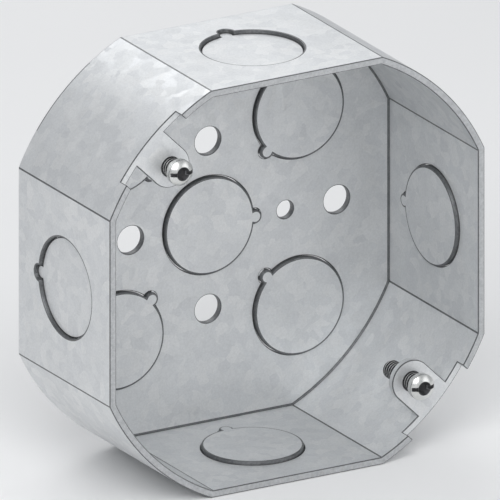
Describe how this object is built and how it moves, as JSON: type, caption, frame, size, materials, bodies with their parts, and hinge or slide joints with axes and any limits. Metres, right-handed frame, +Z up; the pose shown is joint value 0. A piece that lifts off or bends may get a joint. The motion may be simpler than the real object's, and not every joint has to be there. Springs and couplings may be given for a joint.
{
  "type": "junction box",
  "caption": "Shallow drawn-steel octagonal electrical outlet box, open at the front, with pry-out knockouts in its back and sides and cover screws in folded ears.",
  "frame": {"origin": "on the surface the box stands on, under the middle of its outline in X and Y; the back's outside face is at Y = +21.45 mm, the rim of the open front at Y = -18.25 mm, and the box's centre line at Z = 46.2 mm", "axes": "+Z up, +Y out of the back towards the wall, the open front faces -Y, +X to the right of someone looking into the open front"},
  "size_m": [0.0924, 0.0428, 0.0924],
  "materials": {
    "galvanised_steel": "satin hot-dip zinc with faint spangle",
    "zinc_plated_steel": "bright clear zinc plate"
  },
  "bodies": {
    "box": {"box_shell": "galvanised_steel"},
    "back_center_slug": {"back_center_slug": "galvanised_steel"},
    "back_upper_left_slug": {"back_upper_left_slug": "galvanised_steel"},
    "back_upper_right_slug": {"back_upper_right_slug": "galvanised_steel"},
    "back_lower_left_slug": {"back_lower_left_slug": "galvanised_steel"},
    "back_lower_right_slug": {"back_lower_right_slug": "galvanised_steel"},
    "right_side_slug": {"right_side_slug": "galvanised_steel"},
    "left_side_slug": {"left_side_slug": "galvanised_steel"},
    "top_side_slug": {"top_side_slug": "galvanised_steel"},
    "bottom_side_slug": {"bottom_side_slug": "galvanised_steel"},
    "upper_left_cover_screw": {"upper_left_cover_screw": "zinc_plated_steel"},
    "lower_right_cover_screw": {"lower_right_cover_screw": "zinc_plated_steel"}
  },
  "joints": [
    {"name": "back_center_tie", "type": "hinge", "parent": "box", "child": "back_center_slug", "pos_m": [0.013, 0.01985, 0.0462], "axis": [0, 0, 1], "range_deg": [0, 60]},
    {"name": "back_upper_left_tie", "type": "hinge", "parent": "box", "child": "back_upper_left_slug", "pos_m": [-0.01301, 0.01985, 0.05921], "axis": [0.7071, 0, 0.7071], "range_deg": [0, 60]},
    {"name": "back_upper_right_tie", "type": "hinge", "parent": "box", "child": "back_upper_right_slug", "pos_m": [0.01301, 0.01985, 0.05921], "axis": [0.7071, 0, -0.7071], "range_deg": [0, 60]},
    {"name": "back_lower_left_tie", "type": "hinge", "parent": "box", "child": "back_lower_left_slug", "pos_m": [-0.01301, 0.01985, 0.03319], "axis": [-0.7071, 0, 0.7071], "range_deg": [0, 60]},
    {"name": "back_lower_right_tie", "type": "hinge", "parent": "box", "child": "back_lower_right_slug", "pos_m": [0.01301, 0.01985, 0.03319], "axis": [-0.7071, 0, -0.7071], "range_deg": [0, 60]},
    {"name": "right_side_tie", "type": "hinge", "parent": "box", "child": "right_side_slug", "pos_m": [0.0446, 0.0138, 0.0462], "axis": [0, 0, -1], "range_deg": [0, 60]},
    {"name": "left_side_tie", "type": "hinge", "parent": "box", "child": "left_side_slug", "pos_m": [-0.0446, 0.0138, 0.0462], "axis": [0, 0, 1], "range_deg": [0, 60]},
    {"name": "top_side_tie", "type": "hinge", "parent": "box", "child": "top_side_slug", "pos_m": [0, 0.0138, 0.0908], "axis": [1, 0, 0], "range_deg": [0, 60]},
    {"name": "bottom_side_tie", "type": "hinge", "parent": "box", "child": "bottom_side_slug", "pos_m": [0, 0.0138, 0.0016], "axis": [-1, 0, 0], "range_deg": [0, 60]},
    {"name": "upper_left_cover_screw_travel", "type": "slide", "parent": "box", "child": "upper_left_cover_screw", "axis": [0, 1, 0], "range_m": [-0.008, 0.003]},
    {"name": "lower_right_cover_screw_travel", "type": "slide", "parent": "box", "child": "lower_right_cover_screw", "axis": [0, 1, 0], "range_m": [-0.008, 0.003]}
  ]
}
